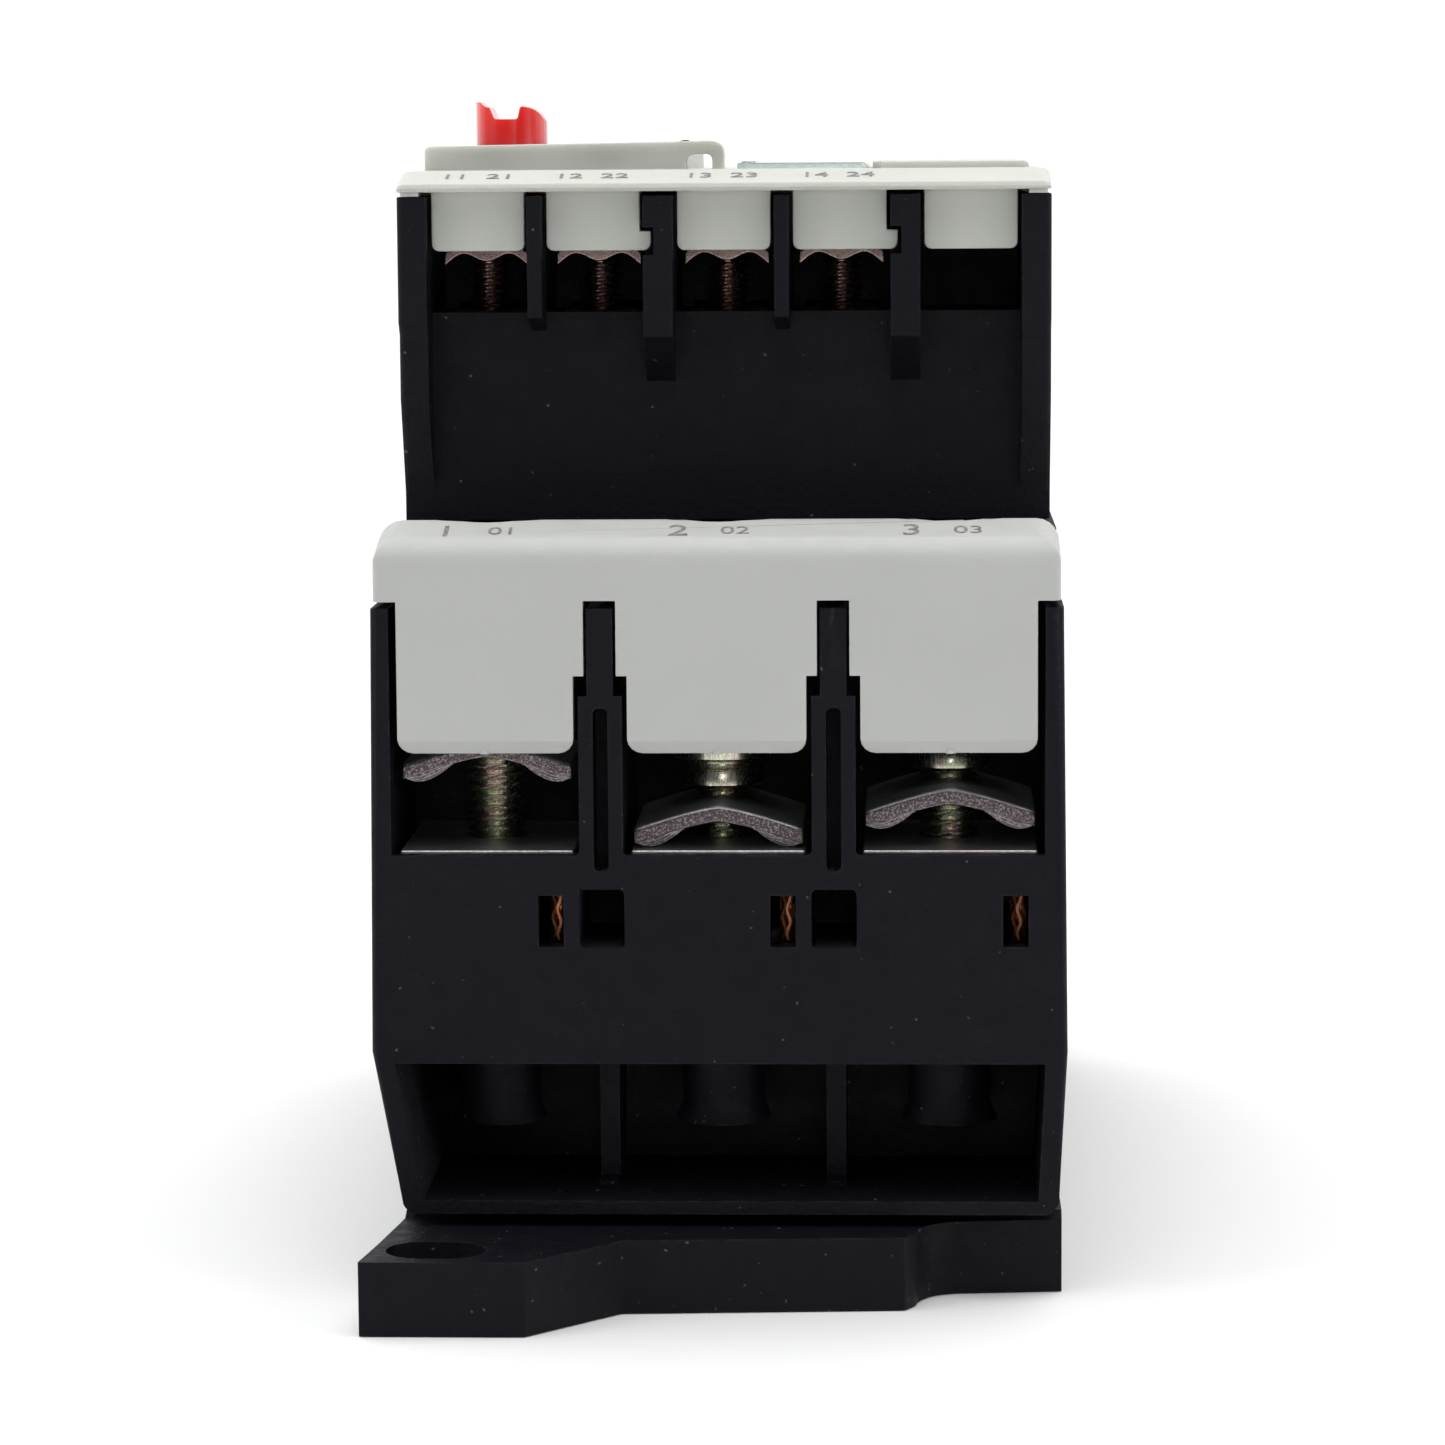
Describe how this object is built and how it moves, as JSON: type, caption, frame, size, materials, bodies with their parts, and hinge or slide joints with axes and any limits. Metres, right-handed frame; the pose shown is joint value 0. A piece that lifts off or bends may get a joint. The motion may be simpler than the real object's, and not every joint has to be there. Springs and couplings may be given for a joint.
{
  "type": "thermal overload relay",
  "caption": "Thermal overload relay with motor terminals, auxiliary terminals and stop button, seated on a rail and screw mounting adaptor with line terminals.",
  "frame": {"origin": "centre of the adaptor base's back face, which is also the bottom centre of the whole box", "axes": "+Z towards the relay's front face with the buttons, -Y towards the motor terminals, +X to the right when facing the motor terminals"},
  "size_m": [0.0456, 0.1, 0.0787],
  "materials": {
    "housing_black": "fine moulded grain",
    "cover_grey": "satin moulded",
    "fascia_grey": "satin moulded",
    "stop_red": "semi-gloss",
    "reset_blue": "semi-gloss",
    "clear_plastic": "clear moulded plastic",
    "inner_plastic": "moulded",
    "zinc_plate": "zinc plated",
    "zinc_screw": "yellow-green passivated zinc",
    "bimetal": "rolled",
    "heater": "wound resistance wire",
    "copper": "copper",
    "browned_copper": "copper plated steel",
    "spring_steel": "drawn wire"
  },
  "bodies": {
    "root": {"adaptor_base": "housing_black", "adaptor_cover": "housing_black", "relay_casing": "housing_black", "mechanism_casing": "housing_black", "front_fascia": "fascia_grey", "terminal_cover": "cover_grey", "load_terminal_plate_1": "zinc_plate", "bimetal_strip_1": "bimetal", "heater_winding_1": "heater", "line_blade_1": "copper", "line_terminal_plate_1": "zinc_plate", "load_terminal_plate_2": "zinc_plate", "bimetal_strip_2": "bimetal", "heater_winding_2": "heater", "line_blade_2": "copper", "line_terminal_plate_2": "zinc_plate", "load_terminal_plate_3": "zinc_plate", "bimetal_strip_3": "bimetal", "heater_winding_3": "heater", "line_blade_3": "copper", "line_terminal_plate_3": "zinc_plate", "aux_terminal_plate_1": "browned_copper", "aux_terminal_plate_2": "browned_copper", "aux_terminal_plate_3": "browned_copper", "aux_terminal_plate_4": "browned_copper", "stop_spring": "spring_steel", "reset_spring": "spring_steel"},
    "main_clamp_body_1": {"main_clamp_1": "zinc_plate"},
    "main_screw_body_1": {"main_screw_1": "zinc_screw"},
    "main_clamp_body_2": {"main_clamp_2": "zinc_plate"},
    "main_screw_body_2": {"main_screw_2": "zinc_screw"},
    "main_clamp_body_3": {"main_clamp_3": "zinc_plate"},
    "main_screw_body_3": {"main_screw_3": "zinc_screw"},
    "line_clamp_body_1": {"line_clamp_1": "zinc_plate"},
    "line_screw_body_1": {"line_screw_1": "zinc_screw"},
    "line_clamp_body_2": {"line_clamp_2": "zinc_plate"},
    "line_screw_body_2": {"line_screw_2": "zinc_screw"},
    "line_clamp_body_3": {"line_clamp_3": "zinc_plate"},
    "line_screw_body_3": {"line_screw_3": "zinc_screw"},
    "aux_clamp_body_1": {"aux_clamp_1": "browned_copper"},
    "aux_screw_body_1": {"aux_screw_1": "browned_copper"},
    "aux_clamp_body_2": {"aux_clamp_2": "browned_copper"},
    "aux_screw_body_2": {"aux_screw_2": "browned_copper"},
    "aux_clamp_body_3": {"aux_clamp_3": "browned_copper"},
    "aux_screw_body_3": {"aux_screw_3": "browned_copper"},
    "aux_clamp_body_4": {"aux_clamp_4": "browned_copper"},
    "aux_screw_body_4": {"aux_screw_4": "browned_copper"},
    "stop_button_body": {"stop_button": "stop_red"},
    "mode_selector_body": {"mode_selector": "reset_blue"},
    "reset_button_body": {"reset_button": "reset_blue"},
    "current_dial_body": {"current_dial": "cover_grey"},
    "window_cover_body": {"window_cover": "clear_plastic"},
    "trip_slide_body": {"trip_slide": "inner_plastic"},
    "differential_slide_body": {"differential_slide": "inner_plastic"},
    "compensation_lever_body": {"compensation_lever": "bimetal"},
    "contact_carrier_body": {"contact_carrier": "inner_plastic", "nc_bridge": "copper", "no_bridge": "copper"},
    "rail_clip_body": {"rail_clip": "inner_plastic"}
  },
  "joints": [
    {"name": "main_clamp_1_lift", "type": "slide", "parent": "root", "child": "main_clamp_body_1", "axis": [0, 0, 1], "range_m": [-0.0043, 0.0003]},
    {"name": "main_screw_1_turn", "type": "hinge", "parent": "main_clamp_body_1", "child": "main_screw_body_1", "pos_m": [-0.01515, -0.0312, 0.03255], "axis": [0, 0, 1], "range_deg": [-2211.5, 154.3]},
    {"name": "main_clamp_2_lift", "type": "slide", "parent": "root", "child": "main_clamp_body_2", "axis": [0, 0, 1], "range_m": [0, 0.0046]},
    {"name": "main_screw_2_turn", "type": "hinge", "parent": "main_clamp_body_2", "child": "main_screw_body_2", "pos_m": [0, -0.0312, 0.03255], "axis": [0, 0, 1], "range_deg": [0, 2365.8]},
    {"name": "main_clamp_3_lift", "type": "slide", "parent": "root", "child": "main_clamp_body_3", "axis": [0, 0, 1], "range_m": [-0.00115, 0.00345]},
    {"name": "main_screw_3_turn", "type": "hinge", "parent": "main_clamp_body_3", "child": "main_screw_body_3", "pos_m": [0.01515, -0.0312, 0.03255], "axis": [0, 0, 1], "range_deg": [-591.5, 1774.3]},
    {"name": "line_clamp_1_lift", "type": "slide", "parent": "root", "child": "line_clamp_body_1", "axis": [0, 0, 1], "range_m": [-0.0043, 0.0003]},
    {"name": "line_screw_1_turn", "type": "hinge", "parent": "line_clamp_body_1", "child": "line_screw_body_1", "pos_m": [-0.01515, 0.0337, 0.03255], "axis": [0, 0, 1], "range_deg": [-2211.5, 154.3]},
    {"name": "line_clamp_2_lift", "type": "slide", "parent": "root", "child": "line_clamp_body_2", "axis": [0, 0, 1], "range_m": [-0.0043, 0.0003]},
    {"name": "line_screw_2_turn", "type": "hinge", "parent": "line_clamp_body_2", "child": "line_screw_body_2", "pos_m": [0, 0.0337, 0.03255], "axis": [0, 0, 1], "range_deg": [-2211.5, 154.3]},
    {"name": "line_clamp_3_lift", "type": "slide", "parent": "root", "child": "line_clamp_body_3", "axis": [0, 0, 1], "range_m": [-0.0043, 0.0003]},
    {"name": "line_screw_3_turn", "type": "hinge", "parent": "line_clamp_body_3", "child": "line_screw_body_3", "pos_m": [0.01515, 0.0337, 0.03255], "axis": [0, 0, 1], "range_deg": [-2211.5, 154.3]},
    {"name": "aux_clamp_1_lift", "type": "slide", "parent": "root", "child": "aux_clamp_body_1", "axis": [0, 0, 1], "range_m": [-0.0029, 0.0003]},
    {"name": "aux_screw_1_turn", "type": "hinge", "parent": "aux_clamp_body_1", "child": "aux_screw_body_1", "pos_m": [-0.0165, -0.0155, 0.06765], "axis": [0, 0, 1], "range_deg": [-2088, 216]},
    {"name": "aux_clamp_2_lift", "type": "slide", "parent": "root", "child": "aux_clamp_body_2", "axis": [0, 0, 1], "range_m": [-0.0029, 0.0003]},
    {"name": "aux_screw_2_turn", "type": "hinge", "parent": "aux_clamp_body_2", "child": "aux_screw_body_2", "pos_m": [-0.00875, -0.0155, 0.06765], "axis": [0, 0, 1], "range_deg": [-2088, 216]},
    {"name": "aux_clamp_3_lift", "type": "slide", "parent": "root", "child": "aux_clamp_body_3", "axis": [0, 0, 1], "range_m": [-0.0029, 0.0003]},
    {"name": "aux_screw_3_turn", "type": "hinge", "parent": "aux_clamp_body_3", "child": "aux_screw_body_3", "pos_m": [0.00005, -0.0155, 0.06765], "axis": [0, 0, 1], "range_deg": [-2088, 216]},
    {"name": "aux_clamp_4_lift", "type": "slide", "parent": "root", "child": "aux_clamp_body_4", "axis": [0, 0, 1], "range_m": [-0.0029, 0.0003]},
    {"name": "aux_screw_4_turn", "type": "hinge", "parent": "aux_clamp_body_4", "child": "aux_screw_body_4", "pos_m": [0.0079, -0.0155, 0.06765], "axis": [0, 0, 1], "range_deg": [-2088, 216]},
    {"name": "stop_press", "type": "slide", "parent": "root", "child": "stop_button_body", "axis": [0, 0, 1], "range_m": [-0.002, 0], "stiffness_N_per_m": 400, "springref_m": 0.0005, "deforming": ["stop_spring"]},
    {"name": "mode_turn", "type": "hinge", "parent": "root", "child": "mode_selector_body", "pos_m": [-0.0163, 0.0112, 0.075], "axis": [0, 0, 1], "range_deg": [0, 90]},
    {"name": "reset_press", "type": "slide", "parent": "root", "child": "reset_button_body", "axis": [0, 0, 1], "range_m": [-0.0018, 0], "stiffness_N_per_m": 400, "springref_m": 0.0005, "deforming": ["reset_spring"]},
    {"name": "current_setting", "type": "hinge", "parent": "root", "child": "current_dial_body", "pos_m": [0.005, 0.005, 0.073], "axis": [0, 0, 1], "range_deg": [-140, 140]},
    {"name": "window_open", "type": "hinge", "parent": "root", "child": "window_cover_body", "pos_m": [0.0092, 0.0025, 0.07385], "axis": [0, 1, 0], "range_deg": [0, 95]},
    {"name": "trip_travel", "type": "slide", "parent": "root", "child": "trip_slide_body", "axis": [1, 0, 0], "range_m": [0, 0.002], "stiffness_N_per_m": 300, "springref_m": -0.0003},
    {"name": "differential_travel", "type": "slide", "parent": "root", "child": "differential_slide_body", "axis": [1, 0, 0], "range_m": [0, 0.002], "stiffness_N_per_m": 300, "springref_m": -0.0003},
    {"name": "lever_turn", "type": "hinge", "parent": "root", "child": "compensation_lever_body", "pos_m": [0.0082, 0.0026, 0.057], "axis": [0, 1, 0], "range_deg": [-12, 0]},
    {"name": "contact_travel", "type": "slide", "parent": "root", "child": "contact_carrier_body", "axis": [0, 0, 1], "range_m": [0, 0.00125]},
    {"name": "rail_clip_pull", "type": "slide", "parent": "root", "child": "rail_clip_body", "axis": [0, -1, 0], "range_m": [0, 0.003]}
  ],
  "couplings": [
    {"joint": "main_screw_1_turn", "follows": "main_clamp_1_lift", "rad_per_m": 8976},
    {"joint": "main_screw_2_turn", "follows": "main_clamp_2_lift", "rad_per_m": 8976},
    {"joint": "main_screw_3_turn", "follows": "main_clamp_3_lift", "rad_per_m": 8976},
    {"joint": "line_screw_1_turn", "follows": "line_clamp_1_lift", "rad_per_m": 8976},
    {"joint": "line_screw_2_turn", "follows": "line_clamp_2_lift", "rad_per_m": 8976},
    {"joint": "line_screw_3_turn", "follows": "line_clamp_3_lift", "rad_per_m": 8976},
    {"joint": "aux_screw_1_turn", "follows": "aux_clamp_1_lift", "rad_per_m": 12566},
    {"joint": "aux_screw_2_turn", "follows": "aux_clamp_2_lift", "rad_per_m": 12566},
    {"joint": "aux_screw_3_turn", "follows": "aux_clamp_3_lift", "rad_per_m": 12566},
    {"joint": "aux_screw_4_turn", "follows": "aux_clamp_4_lift", "rad_per_m": 12566},
    {"joint": "lever_turn", "follows": "trip_travel", "rad_per_m": -90.9},
    {"joint": "contact_travel", "follows": "trip_travel", "ratio": 0.6}
  ]
}
